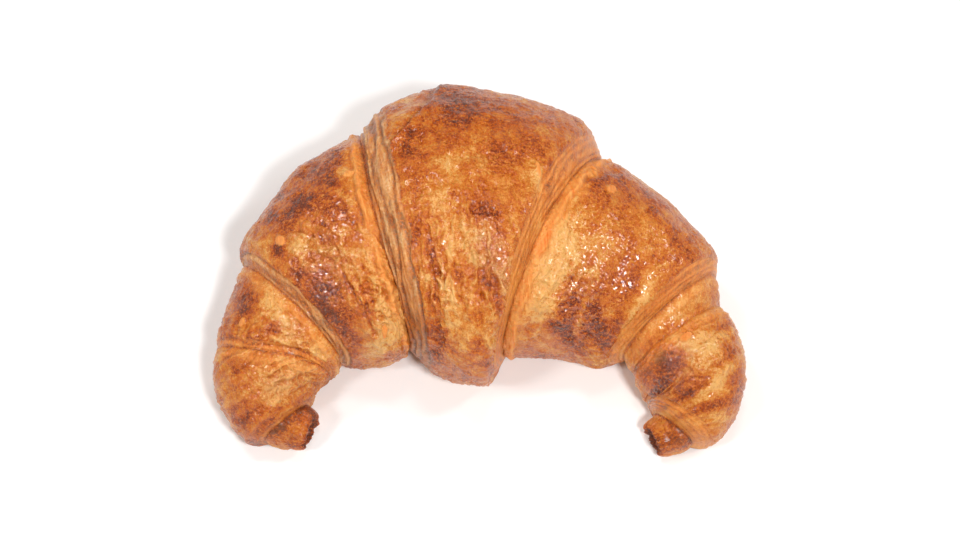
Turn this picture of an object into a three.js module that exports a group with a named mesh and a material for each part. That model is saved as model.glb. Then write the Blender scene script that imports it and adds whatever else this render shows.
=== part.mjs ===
// A baked croissant: one strip of laminated dough, rolled up from its wide end, bent into a crescent
// and baked as a single piece. The dough is thickest at the crown, in the middle, and each turn of the
// roll ends in a rim that stands over the next, thinner turn, down to a small curled tip at both ends.
//
// Frame: millimetres, +Z up. The croissant lies on Z = 0 with its horns pointing towards -Y, +X runs
// from the left horn to the right one, and the origin is the middle of the bounding box's bottom.
import * as THREE from 'three';

// The spine is the roll's centre line: an arc on each side of the crown, whose bend tightens from
// curlFrom to the tip. Lengths are measured along the spine from the crown's middle.
const SPINE = {
  left: { length: 95, bendRadius: 67, curlFrom: 61.5, curl: 73 },
  right: { length: 93.5, bendRadius: 62, curlFrom: 71, curl: 66 },
};
const CURL_POWER = 1.5;
const SPINE_STEP = 0.25;

// Every turn of the roll, from the left tip to the right one.
// from: where its left seam lies along the spine, at the back of the crescent and at the front.
// back, front: half widths at the left seam, in the middle and at the right seam.
// rim: how far in from its seams the turn's edge rounds down. groove: how deep it dips beside the
// turn that overlaps it. rows: how many rings of vertices model it.
const TURNS = [
  { name: 'left_tip', from: [-95, -95], back: [5, 7, 8.5], front: [8, 8, 8.5], rim: 2, groove: 0.8, rows: 5 },
  { name: 'left_horn', from: [-90.5, -93.5], back: [10.5, 14, 15.5], front: [10, 14, 18], rim: 2, groove: 0.7, rows: 9 },
  { name: 'left_elbow', from: [-73.5, -76.5], back: [16, 17, 20.8], front: [16.5, 17.8, 18.5], rim: 3, groove: 1, rows: 9 },
  { name: 'left_shoulder', from: [-58, -61], back: [24.6, 28.8, 33.6], front: [18, 28, 29.5], rim: 5, groove: 1.5, rows: 13 },
  { name: 'crown', from: [-23, -34.5], back: [37, 39.3, 34], front: [35.2, 44.7, 43.8], rim: 7, groove: 0, rows: 17 },
  { name: 'right_shoulder', from: [25.5, 16.5], back: [28.6, 26.4, 25.4], front: [36, 29.2, 18], rim: 5, groove: 1.5, rows: 13 },
  { name: 'right_elbow', from: [58.5, 61.5], back: [22.6, 20, 17.8], front: [13.8, 13.2, 13.5], rim: 3, groove: 1, rows: 6 },
  { name: 'right_horn', from: [64.5, 68], back: [18.2, 17.2, 9.8], front: [13.3, 12, 8.6], rim: 2, groove: 0.7, rows: 11 },
  { name: 'right_tip', from: [90, 92], back: [7.5, 7, 6], front: [7, 6.5, 6], rim: 2, groove: 0.8, rows: 5 },
];
const CROWN = TURNS.findIndex((turn) => turn.name === 'crown');
const GROOVE_REACH = 1.6;
const RIM_ROUNDNESS = 0.9;

// Swellings and hollows where the dough rose unevenly. at: length along the spine. angle: degrees round
// the section, 0 at the back and 90 on top. size: radius of the swelling. height: how far it stands out.
const SWELLINGS = [
  { at: -7, angle: 15, size: 8, height: 2 },
  { at: -37, angle: 20, size: 6, height: 1.8 },
  { at: -46, angle: 165, size: 8, height: 1.5 },
  { at: -25, angle: 60, size: 8, height: -1.2 },
  { at: 4, angle: 115, size: 10, height: 1.2 },
  { at: 12, angle: 60, size: 9, height: 1 },
  { at: 38, angle: 130, size: 9, height: 1.2 },
  { at: 46, angle: 60, size: 7, height: 1 },
  { at: -68, angle: 95, size: 6, height: 1 },
  { at: 78, angle: 80, size: 8, height: 1.2 },
];

// The section across the roll: nearly round on top, squarer below, and slumped onto a flat foot.
const TOP_ROUNDNESS = 2.1;
const FOOT_ROUNDNESS = 2.5;
const SLUMP_PER_MM = 0.0036; // how much flatter a section is for each millimetre of its width
const FOOT_CUT = 0.84; // height of a section's middle, as a share of its half height
const AROUND = 40;
const TIP_DOME = { left: 4, right: 3, rings: 4 };

// One side of the spine, as [x, y, heading] every SPINE_STEP. Heading is the angle turned since the crown.
function halfSpine({ length, bendRadius, curlFrom, curl }) {
  const points = [];
  let x = 0;
  let y = 0;
  for (let s = 0; s <= length + TIP_DOME.left + 1; s += SPINE_STEP) {
    const tightened = Math.max(0, (s - curlFrom) / (length - curlFrom)) ** CURL_POWER;
    const heading = s / bendRadius + THREE.MathUtils.degToRad(curl) * tightened;
    points.push([x, y, heading]);
    x += Math.cos(heading) * SPINE_STEP;
    y -= Math.sin(heading) * SPINE_STEP;
  }
  return points;
}

const spinePoints = { left: halfSpine(SPINE.left), right: halfSpine(SPINE.right) };

// The spine's point at length s, with the direction that points out of the crescent, towards its back.
function spineAt(s) {
  const side = s < 0 ? 'left' : 'right';
  const points = spinePoints[side];
  const place = Math.min(Math.abs(s) / SPINE_STEP, points.length - 1.001);
  const first = Math.floor(place);
  const [x, y, heading] = points[first].map((v, i) => THREE.MathUtils.lerp(v, points[first + 1][i], place - first));
  const mirror = side === 'left' ? -1 : 1;
  return { x: mirror * x, y, outX: mirror * Math.sin(heading), outY: Math.cos(heading) };
}

// The parabola through three evenly spaced values, at q from 0 to 1.
function throughThree([a, b, c], q) {
  return a * (1 - q) * (1 - 2 * q) + b * 4 * q * (1 - q) + c * q * (2 * q - 1);
}

// Share of the back's sizes at a point round the section; the rest is the front's.
function shareOfBack(angle) {
  return THREE.MathUtils.smoothstep(Math.cos(angle), -1, 1);
}

function halfWidth(turn, q, angle) {
  return THREE.MathUtils.lerp(throughThree(turn.front, q), throughThree(turn.back, q), shareOfBack(angle));
}

// Where the seam at the left of turns[index] lies along the spine, at an angle round the section.
function seamAt(index, angle) {
  const end = [SPINE.right.length, SPINE.right.length];
  const [back, front] = index < TURNS.length ? TURNS[index].from : end;
  return THREE.MathUtils.lerp(front, back, (1 + Math.cos(angle)) / 2);
}

// The turn's edge rounds from its full size down to the level of the thinner turn that it overlaps.
function roundedRim(size, low, distance, rim) {
  const rise = Math.sin(Math.min(1, Math.max(0, distance / rim)) * Math.PI / 2) ** RIM_ROUNDNESS;
  return low + (size - low) * rise;
}

// Half width of turn index at q across it, with its rims, its groove and the swellings.
function relief(index, q, angle) {
  const turn = TURNS[index];
  const left = seamAt(index, angle);
  const right = seamAt(index + 1, angle);
  const s = THREE.MathUtils.lerp(left, right, q);
  let size = halfWidth(turn, q, angle);
  if (index > 0 && index <= CROWN) {
    const under = TURNS[index - 1];
    size = roundedRim(size, halfWidth(under, 1, angle) - under.groove, s - left, turn.rim);
  }
  if (index < TURNS.length - 1 && index >= CROWN) {
    const under = TURNS[index + 1];
    size = roundedRim(size, halfWidth(under, 0, angle) - under.groove, right - s, turn.rim);
  }
  if (index !== CROWN) {
    const toSeam = index < CROWN ? right - s : s - left;
    size -= turn.groove * Math.exp(-toSeam / GROOVE_REACH);
  }
  for (const swelling of SWELLINGS) {
    const around = size * (angle - THREE.MathUtils.degToRad(swelling.angle));
    const apart = ((s - swelling.at) ** 2 + around ** 2) / swelling.size ** 2;
    size += swelling.height * Math.exp(-apart);
  }
  return { s, size };
}

// Mean half width along the spine without the steps, so that the section's middle rises smoothly.
const meanStations = TURNS.map((turn, i) => {
  const middle = (seamAt(i, Math.PI / 2) + seamAt(i + 1, Math.PI / 2)) / 2;
  return [middle, (turn.back[1] + turn.front[1]) / 2];
});

function meanHalfWidth(s) {
  const next = meanStations.findIndex(([at]) => at > s);
  if (next === 0) return meanStations[0][1];
  if (next < 0) return meanStations.at(-1)[1];
  const [[from, low], [to, high]] = [meanStations[next - 1], meanStations[next]];
  return THREE.MathUtils.mapLinear(s, from, to, low, high);
}

function signedPower(value, power) {
  return Math.sign(value) * Math.abs(value) ** power;
}

// The point of the crust at length s along the spine and an angle round a section of that half width.
function crustPoint(s, size, angle) {
  const { x, y, outX, outY } = spineAt(s);
  const power = 2 / (angle < Math.PI ? TOP_ROUNDNESS : FOOT_ROUNDNESS);
  const mean = meanHalfWidth(s);
  const flatness = 1 - SLUMP_PER_MM * 2 * mean;
  const out = size * signedPower(Math.cos(angle), power);
  const up = flatness * (mean * FOOT_CUT + size * signedPower(Math.sin(angle), power));
  return new THREE.Vector3(x + outX * out, y + outY * out, Math.max(0, up));
}

function ring(pointAt) {
  return Array.from({ length: AROUND }, (_, i) => pointAt((i / AROUND) * 2 * Math.PI));
}

// Rings that close a tip: the end section shrinks along a quarter circle.
function domeRings(index, q, outward, depth) {
  return Array.from({ length: TIP_DOME.rings - 1 }, (_, i) => {
    const turned = ((i + 1) / TIP_DOME.rings) * (Math.PI / 2);
    return ring((angle) => {
      const { s, size } = relief(index, q, angle);
      return crustPoint(s + outward * depth * Math.sin(turned), size * Math.cos(turned), angle);
    });
  });
}

// Rings are closer together at a turn's seams, where the surface steps.
function turnRings(index) {
  const { rows } = TURNS[index];
  const isLast = index === TURNS.length - 1;
  return Array.from({ length: isLast ? rows + 1 : rows }, (_, i) => {
    const q = 0.5 - 0.5 * Math.cos((i / rows) * Math.PI);
    return ring((angle) => {
      const { s, size } = relief(index, q, angle);
      return crustPoint(s, size, angle);
    });
  });
}

function centreOf(points) {
  const sum = points.reduce((total, point) => total.add(point), new THREE.Vector3());
  return sum.divideScalar(points.length);
}

// A closed skin over the rings, with a point at each end.
function skin(rings) {
  const points = [...rings.flat(), centreOf(rings[0]), centreOf(rings.at(-1))];
  const leftPole = points.length - 2;
  const rightPole = points.length - 1;
  const lastRing = (rings.length - 1) * AROUND;
  const faces = [];
  for (let i = 0; i < AROUND; i += 1) {
    const j = (i + 1) % AROUND;
    faces.push(leftPole, j, i);
    faces.push(rightPole, lastRing + i, lastRing + j);
    for (let base = 0; base < lastRing; base += AROUND) {
      const above = base + AROUND;
      faces.push(base + i, base + j, above + j, base + i, above + j, above + i);
    }
  }
  const geometry = new THREE.BufferGeometry().setFromPoints(points);
  geometry.setIndex(faces);
  return geometry;
}

// Moves the geometry so that its bounding box stands on the origin.
function standOnOrigin(geometry) {
  geometry.computeBoundingBox();
  const { min, max } = geometry.boundingBox;
  geometry.translate(-(min.x + max.x) / 2, -(min.y + max.y) / 2, -min.z);
  geometry.computeVertexNormals();
  return geometry;
}

const rings = [
  ...domeRings(0, 0, -1, TIP_DOME.left).reverse(),
  ...TURNS.flatMap((_, index) => turnRings(index)),
  ...domeRings(TURNS.length - 1, 1, 1, TIP_DOME.right),
];

const crust = new THREE.MeshStandardMaterial({ color: 0xc9783a, roughness: 0.45, metalness: 0 });
const croissant = new THREE.Mesh(standOnOrigin(skin(rings)), crust);
croissant.name = 'croissant';

const group = new THREE.Group();
group.add(croissant);

export default group;
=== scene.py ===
"""The looks of a baked croissant: its egg-washed crust, its layered edges and a plain pale studio.

The crust is one skin over the whole roll. It follows the same bent and tapered roll as the solid that
it stands for, with the fine relief that baking gives it: lumps, wrinkles, blisters, open layers along
the edges of the turns and hollow, rolled-up ends. Sizes are in millimetres up to the mesh, which is
in metres.
"""

import logging
import math
from dataclasses import dataclass, field
from enum import Enum

import bpy
import numpy as np
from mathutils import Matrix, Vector


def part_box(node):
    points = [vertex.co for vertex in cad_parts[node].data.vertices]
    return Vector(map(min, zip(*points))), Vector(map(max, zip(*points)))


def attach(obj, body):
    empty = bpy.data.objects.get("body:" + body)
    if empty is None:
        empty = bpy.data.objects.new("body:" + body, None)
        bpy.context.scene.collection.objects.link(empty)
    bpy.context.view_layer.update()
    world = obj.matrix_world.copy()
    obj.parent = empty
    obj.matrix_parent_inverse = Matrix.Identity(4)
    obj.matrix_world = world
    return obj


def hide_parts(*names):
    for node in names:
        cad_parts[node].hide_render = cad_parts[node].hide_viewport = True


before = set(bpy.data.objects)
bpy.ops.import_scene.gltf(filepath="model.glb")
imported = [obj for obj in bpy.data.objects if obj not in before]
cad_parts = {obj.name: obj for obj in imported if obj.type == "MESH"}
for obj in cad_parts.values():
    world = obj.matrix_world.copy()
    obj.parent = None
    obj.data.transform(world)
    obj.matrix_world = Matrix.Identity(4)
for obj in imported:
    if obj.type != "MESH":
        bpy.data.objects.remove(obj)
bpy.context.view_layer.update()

log = logging.getLogger("croissant")
Array = np.ndarray
MM = 0.001
NODE = "croissant"
TURN_APART = 41.0
Colour = tuple[float, float, float, float]


# ---------------------------------------------------------------- small maths


def smoothstep(low: float | Array, high: float | Array, value: Array) -> Array:
    """Rises smoothly from 0 at low to 1 at high.

    Args:
        low: Where the rise starts.
        high: Where it ends; below low, the step falls instead.
        value: The numbers to read it at.

    Returns:
        The step's height at each number.
    """
    t = np.clip((value - low) / (high - low), 0.0, 1.0)
    return t * t * (3.0 - 2.0 * t)


def bump(distance: Array, reach: float | Array) -> Array:
    """A rounded hill of height 1 that is about reach wide on each side."""
    return np.exp(-((distance / reach) ** 2))


def through_three(values: tuple[float, float, float], q: Array) -> Array:
    """The parabola through three evenly spaced values, at q from 0 to 1."""
    a, b, c = values
    return a * (1 - q) * (1 - 2 * q) + b * 4 * q * (1 - q) + c * q * (2 * q - 1)


def signed_power(value: Array, power: Array) -> Array:
    """Raises to a power and keeps the sign."""
    return np.sign(value) * np.abs(value) ** power


class Noise:
    """Smooth random fields in space, the same on every run."""

    def __init__(self, seed: int) -> None:
        """Keeps the seed that sets this field apart from the others."""
        self.seed = seed

    def _hash(self, cell: list[Array]) -> Array:
        """Scrambles whole-number cell places into 32 random bits each.

        Args:
            cell: The three whole-number coordinates of each cell.

        Returns:
            The bits of each cell.
        """
        x, y, z = (c.astype(np.int64).astype(np.uint32) for c in cell)
        bits = x * np.uint32(374761393) + y * np.uint32(668265263) + z * np.uint32(2246822519)
        bits = bits + np.uint32((self.seed * 3266489917) & 0xFFFFFFFF)
        bits ^= bits >> np.uint32(15)
        bits *= np.uint32(2246822519)
        bits ^= bits >> np.uint32(13)
        bits *= np.uint32(3266489917)
        return bits ^ (bits >> np.uint32(16))

    def _vector(self, cell: list[Array]) -> list[Array]:
        """Three numbers from -1 to 1 for each cell, cut from its random bits.

        Args:
            cell: The three whole-number coordinates of each cell.

        Returns:
            The three numbers, one array for each.
        """
        bits = self._hash(cell)
        parts = [(bits >> np.uint32(10 * i)) & np.uint32(1023) for i in range(3)]
        return [part.astype(np.float64) / 511.5 - 1 for part in parts]

    def smooth(self, x: Array, y: Array, z: Array | float = 0.0) -> Array:
        """Gradient noise, about -1 to 1, with features one unit across.

        Args:
            x: First coordinate.
            y: Second coordinate.
            z: Third coordinate.

        Returns:
            The noise at each point.
        """
        x, y, z = np.broadcast_arrays(x, y, z)
        whole = [np.floor(c) for c in (x, y, z)]
        part = [c - w for c, w in zip((x, y, z), whole)]
        ease = [p * p * p * (p * (p * 6 - 15) + 10) for p in part]
        total = np.zeros(x.shape)
        for i in (0, 1):
            for j in (0, 1):
                for k in (0, 1):
                    gx, gy, gz = self._vector([whole[0] + i, whole[1] + j, whole[2] + k])
                    slope = gx * (part[0] - i) + gy * (part[1] - j) + gz * (part[2] - k)
                    share = 1.0
                    for corner, e in zip((i, j, k), ease):
                        share = share * (e if corner else 1 - e)
                    total += share * slope
        return total * 1.6

    def layered(
        self, x: Array, y: Array, z: Array | float = 0.0, octaves: int = 3, gain: float = 0.5
    ) -> Array:
        """Smooth noise with finer noise added on top, about -1 to 1.

        Args:
            x: First coordinate.
            y: Second coordinate.
            z: Third coordinate.
            octaves: How many sizes of detail.
            gain: How strong each finer size is beside the one before.

        Returns:
            The noise at each point.
        """
        total, weight, reach = 0.0, 1.0, 0.0
        for octave in range(octaves):
            scale = 2.03**octave
            finer = self.smooth(x * scale + 17.3 * octave, y * scale, z * scale - 5.1 * octave)
            total = total + weight * finer
            reach += weight
            weight *= gain
        return total / reach

    def creased(self, x: Array, y: Array, z: Array | float = 0.0, octaves: int = 2) -> Array:
        """Noise with sharp crests, like crumpled skin, about -0.5 to 0.5.

        Args:
            x: First coordinate.
            y: Second coordinate.
            z: Third coordinate.
            octaves: How many sizes of detail.

        Returns:
            The noise at each point.
        """
        total, weight, reach = 0.0, 1.0, 0.0
        for octave in range(octaves):
            scale = 2.1**octave
            crest = 1 - np.abs(self.smooth(x * scale + 9.7 * octave, y * scale, z * scale + 3.3 * octave))
            total = total + weight * (np.maximum(crest, 0) ** 2 - 0.5)
            reach += weight
            weight *= 0.5
        return total / reach

    def cells(self, x: Array, y: Array, z: Array | float = 0.0) -> tuple[Array, Array]:
        """Distances to the nearest and the second nearest of points scattered one to a unit cell.

        Args:
            x: First coordinate.
            y: Second coordinate.
            z: Third coordinate.

        Returns:
            The two distances at each place.
        """
        x, y, z = np.broadcast_arrays(x, y, z)
        whole = [np.floor(c) for c in (x, y, z)]
        first = np.full(x.shape, 9.0)
        second = np.full(x.shape, 9.0)
        steps = (-1, 0, 1)
        for i in steps:
            for j in steps:
                for k in steps:
                    cell = [whole[0] + i, whole[1] + j, whole[2] + k]
                    jitter = self._vector(cell)
                    gap = sum((c + 0.5 + 0.45 * v - p) ** 2 for c, v, p in zip(cell, jitter, (x, y, z)))
                    second = np.minimum(second, np.maximum(first, gap))
                    first = np.minimum(first, gap)
        return np.sqrt(first), np.sqrt(second)


# ---------------------------------------------------------------- the roll


@dataclass(frozen=True)
class Bend:
    """How one side of the roll's centre line bends, measured from the crown's middle.

    The line is an arc of the radius. From curl_from along the length it turns further, by curl degrees
    in all, and tightening is the power by which that turn grows. step is the spacing of the table of
    places, and spare is how far the table runs past the end.
    """

    length: float
    radius: float
    curl_from: float
    curl: float
    tightening: float = 1.5
    step: float = 0.25
    spare: float = 12.0

    def heading(self, s: Array) -> Array:
        """The angle turned since the crown, in radians, at lengths along the line."""
        tightened = np.maximum(0, (s - self.curl_from) / (self.length - self.curl_from)) ** self.tightening
        return s / self.radius + math.radians(self.curl) * tightened

    def table(self) -> tuple[Array, Array, Array, Array]:
        """Lengths along the line with the place and the heading at each.

        Returns:
            Lengths, x, y and the angle turned, in radians.
        """
        s = np.arange(0, self.length + self.spare, self.step)
        heading = self.heading(s)
        x = np.concatenate([[0.0], np.cumsum(np.cos(heading) * self.step)[:-1]])
        y = np.concatenate([[0.0], np.cumsum(-np.sin(heading) * self.step)[:-1]])
        return s, x, y, heading


@dataclass(frozen=True)
class Spine:
    """The roll's centre line, negative lengths to the left of the crown."""

    left: Bend = Bend(length=95, radius=67, curl_from=61.5, curl=73)
    right: Bend = Bend(length=93.5, radius=62, curl_from=71, curl=66)

    def places(self, s: Array) -> tuple[Array, Array, Array, Array]:
        """Where the line runs.

        Args:
            s: Lengths along it.

        Returns:
            x, y and the two parts of the direction out of the crescent, towards its back.
        """
        s_l, x_l, y_l, h_l = self.left.table()
        s_r, x_r, y_r, h_r = self.right.table()
        lengths = np.concatenate([-s_l[:0:-1], s_r])
        x = np.interp(s, lengths, np.concatenate([-x_l[:0:-1], x_r]))
        y = np.interp(s, lengths, np.concatenate([y_l[:0:-1], y_r]))
        heading = np.interp(s, lengths, np.concatenate([-h_l[:0:-1], h_r]))
        return x, y, np.sin(heading), np.cos(heading)


class EdgeStyle(Enum):
    """How the dough's cut edge came out of the oven."""

    LAYERED = "layered"
    STRIATED = "striated"
    PINCHED = "pinched"


@dataclass(frozen=True)
class Edge:
    """The cut edge of a turn where it lies over the next one.

    width is in millimetres over the skin, layers is how many open layers cross it and height is how far
    they stand out. lift raises the skin that ends above the edge, and overhang pushes the edge over the
    next turn. paleness is that of the bare dough and contrast is how far the gaps between the layers and
    the ledge along the edge are darkened, partly as browning and partly as painted shade. foot_darkening
    darkens the front of the edge, towards the foot.
    """

    style: EdgeStyle
    width: float
    layers: float
    height: float
    paleness: float
    lift: float = 0.25
    overhang: float = 0.5
    contrast: float = 0.3
    foot_darkening: float = 0.0


@dataclass(frozen=True)
class Turn:
    """One visible turn of the roll. Pairs are at the back and the front of the crescent.

    start is the length along the spine of its left seam. back and front are its half widths at its
    left, middle and right. rim is the distance over which it rounds down onto the next turn, and groove
    is how deep it dips beside the turn that lies over it. wrinkles, tucked, crimp, seam and pleats are
    strengths of its relief and browning; seam darkens its seam's groove and crimp the dip behind its
    crimp with painted shade, and wrinkles paint their crests paler and their hollows darker.
    """

    name: str
    start: tuple[float, float]
    back: tuple[float, float, float]
    front: tuple[float, float, float]
    rim: float
    groove: float
    left_edge: Edge | None = None
    right_edge: Edge | None = None
    wrinkles: float = 0.25
    tucked: float = 0.3
    crimp: float = 0.3
    seam: float = 1.0
    pleats: float = 0.0

    def mean(self) -> float:
        """Half width in the middle of the turn."""
        return (self.back[1] + self.front[1]) / 2


@dataclass(frozen=True)
class Swelling:
    """A place where the dough rose more than around it, or less.

    at is a length along the spine, angle is in degrees round the section, and size and height are in
    millimetres.
    """

    at: float
    angle: float
    size: float
    height: float


@dataclass(frozen=True)
class Roll:
    """The bent, tapered roll of dough: nine turns along the spine, slumped onto a flat foot."""

    spine: Spine = Spine()
    turns: tuple[Turn, ...] = (
        Turn("left_tip", (-95, -95), (5, 7, 8.5), (8, 8, 8.5), 2, 0.8, wrinkles=0.3, tucked=0.1, crimp=0.0),
        Turn("left_horn", (-90.5, -93.5), (10.5, 14, 15.5), (10, 14, 18), 2, 0.7,
             left_edge=Edge(EdgeStyle.PINCHED, 2.0, 2, 0.2, 0.45), wrinkles=0.09, pleats=0.6),
        Turn("left_elbow", (-73.5, -76.5), (16, 17, 20.8), (16.5, 17.8, 18.5), 3, 1,
             left_edge=Edge(EdgeStyle.PINCHED, 2.2, 2, 0.25, 0.55), wrinkles=0.2, pleats=0.35),
        Turn("left_shoulder", (-58, -61), (24.6, 28.8, 33.6), (18, 28, 29.5), 5, 1.5,
             left_edge=Edge(EdgeStyle.LAYERED, 3.8, 1.5, 0.5, 0.85, lift=0.5, contrast=0.25),
             wrinkles=0.22, tucked=0.4, crimp=0.8),
        Turn("crown", (-23, -34.5), (37, 39.3, 34), (35.2, 44.7, 43.8), 7, 0,
             left_edge=Edge(EdgeStyle.LAYERED, 9.6, 2.7, 1.05, 0.95, lift=0.2, overhang=0.9, contrast=0.55,
                           foot_darkening=0.5),
             right_edge=Edge(EdgeStyle.STRIATED, 7.4, 4.5, 0.3, 0.85, contrast=0.08), wrinkles=0.25),
        Turn("right_shoulder", (25.5, 16.5), (28.6, 26.4, 25.4), (36, 29.2, 18), 5, 1.5,
             right_edge=Edge(EdgeStyle.STRIATED, 5.0, 3.0, 0.3, 0.95, lift=0.4, contrast=0.06),
             wrinkles=0.18, tucked=0.75, crimp=1.0),
        Turn("right_elbow", (58.5, 61.5), (22.6, 20, 17.8), (13.8, 13.2, 13.5), 3, 1,
             right_edge=Edge(EdgeStyle.PINCHED, 1.6, 2, 0.1, 0.15, lift=0.05, contrast=0.05),
             wrinkles=0.22, seam=0.8),
        Turn("right_horn", (64.5, 68), (18.2, 17.2, 9.8), (13.3, 12, 8.6), 2, 0.7,
             right_edge=Edge(EdgeStyle.STRIATED, 6.5, 5, 0.3, 0.7, contrast=0.12),
             wrinkles=0.18, seam=0.3, pleats=0.4),
        Turn("right_tip", (90, 92), (7.5, 7, 6), (7, 6.5, 6), 2, 0.8, wrinkles=0.35, tucked=0.1, crimp=0.0),
    )
    swellings: tuple[Swelling, ...] = (
        Swelling(-7, 15, 8, 2),
        Swelling(-37, 20, 6, 1.8),
        Swelling(-46, 165, 8, 1.5),
        Swelling(-25, 60, 8, -1.2),
        Swelling(4, 115, 10, 1.2),
        Swelling(12, 60, 9, 1),
        Swelling(38, 130, 9, 1.2),
        Swelling(46, 60, 7, 1),
        Swelling(-68, 95, 6, 1),
        Swelling(78, 80, 8, 1.2),
    )
    groove_reach: float = 1.6
    rim_roundness: float = 0.9
    top_roundness: float = 2.1
    foot_roundness: float = 2.5
    slump_per_mm: float = 0.0036
    foot_cut: float = 0.84

    def index(self, name: str) -> int:
        """The place of a turn in the roll, counted from the left tip."""
        return [turn.name for turn in self.turns].index(name)

    def seam(self, index: int, angle: Array) -> Array:
        """Length along the spine of the seam at the left of a turn, at angles round the section.

        Args:
            index: The turn, or one past the last for the roll's right end.
            angle: Angles round the section, in radians.

        Returns:
            The length at each angle.
        """
        ends = (self.spine.right.length, self.spine.right.length)
        back, front = self.turns[index].start if index < len(self.turns) else ends
        return (back + front) / 2 + (back - front) / 2 * np.cos(angle)

    def half_width(self, turn: Turn, q: Array, angle: Array) -> Array:
        """Half width of the roll at q across a turn, before its rims."""
        share = smoothstep(-1.0, 1.0, np.cos(angle))
        return through_three(turn.back, q) * share + through_three(turn.front, q) * (1 - share)

    def _rim(self, size: Array, low: Array, distance: Array, rim: float) -> Array:
        """Rounds an edge down to the level of the turn under it."""
        rise = np.sin(np.clip(distance / rim, 0, 1) * math.pi / 2) ** self.rim_roundness
        return low + (size - low) * rise

    def size(self, index: int, q: Array, angle: Array) -> tuple[Array, Array]:
        """How far the crust is from the centre line.

        Args:
            index: The turn.
            q: Place across it, 0 at its left seam and 1 at its right one.
            angle: Angle round the section, 0 at the back and a quarter turn on top.

        Returns:
            The length along the spine and the half width there.
        """
        turns, crown = self.turns, self.index("crown")
        turn = turns[index]
        left, right = self.seam(index, angle), self.seam(index + 1, angle)
        s = left + (right - left) * q
        size = self.half_width(turn, q, angle)
        if 0 < index <= crown:
            under = turns[index - 1]
            low = self.half_width(under, np.ones_like(angle), angle) - under.groove
            size = self._rim(size, low, s - left, turn.rim)
        if crown <= index < len(turns) - 1:
            under = turns[index + 1]
            low = self.half_width(under, np.zeros_like(angle), angle) - under.groove
            size = self._rim(size, low, right - s, turn.rim)
        if index != crown:
            to_seam = right - s if index < crown else s - left
            size = size - turn.groove * np.exp(-to_seam / self.groove_reach)
        for swelling in self.swellings:
            around = size * (angle - math.radians(swelling.angle))
            apart = ((s - swelling.at) ** 2 + around**2) / swelling.size**2
            size = size + swelling.height * np.exp(-apart)
        return s, size

    def mean_size(self, s: Array) -> Array:
        """Mean half width along the spine without the steps between the turns.

        Args:
            s: Lengths along the spine.

        Returns:
            The mean half width at each.
        """
        top = np.array(math.pi / 2)
        middles = [float(self.seam(i, top) + self.seam(i + 1, top)) / 2 for i in range(len(self.turns))]
        return np.interp(s, middles, [turn.mean() for turn in self.turns])

    def points(self, s: Array, size: Array, angle: Array) -> Array:
        """Places on the crust.

        Args:
            s: Length along the spine.
            size: Half width there.
            angle: Angle round the section, from 0 to a full turn.

        Returns:
            x, y and z in millimetres in the last axis.
        """
        x, y, out_x, out_y = self.spine.places(s)
        turned = np.mod(angle, 2 * math.pi)
        power = 2 / np.where(turned < math.pi, self.top_roundness, self.foot_roundness)
        mean = self.mean_size(s)
        flatness = 1 - self.slump_per_mm * 2 * mean
        out = size * signed_power(np.cos(turned), power)
        up = flatness * (mean * self.foot_cut + size * signed_power(np.sin(turned), power))
        return np.stack([x + out_x * out, y + out_y * out, np.maximum(0, up)], axis=-1)


# ---------------------------------------------------------------- the crust's relief, browning and painted light


@dataclass(frozen=True)
class Patch:
    """A soft-edged patch of crust: where it is on a turn and how strong it is.

    across runs from 0 at the turn's left seam to 1 at its right one. angle is in degrees round the
    section, 0 at the back and 90 on top. wide and long are its half sizes in millimetres, across the
    turn and round it.
    """

    turn: str
    across: float
    angle: float
    wide: float
    long: float
    strength: float


@dataclass(frozen=True)
class Fold:
    """The edge of a loose layer that crosses a turn and stands over the skin on its left.

    start and end are (across, angle in degrees); bow is the power by which it curves between them.
    step is its height and reach how far it slopes away to the right, in millimetres.
    """

    turn: str
    start: tuple[float, float]
    end: tuple[float, float]
    bow: float
    step: float
    reach: float


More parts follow.
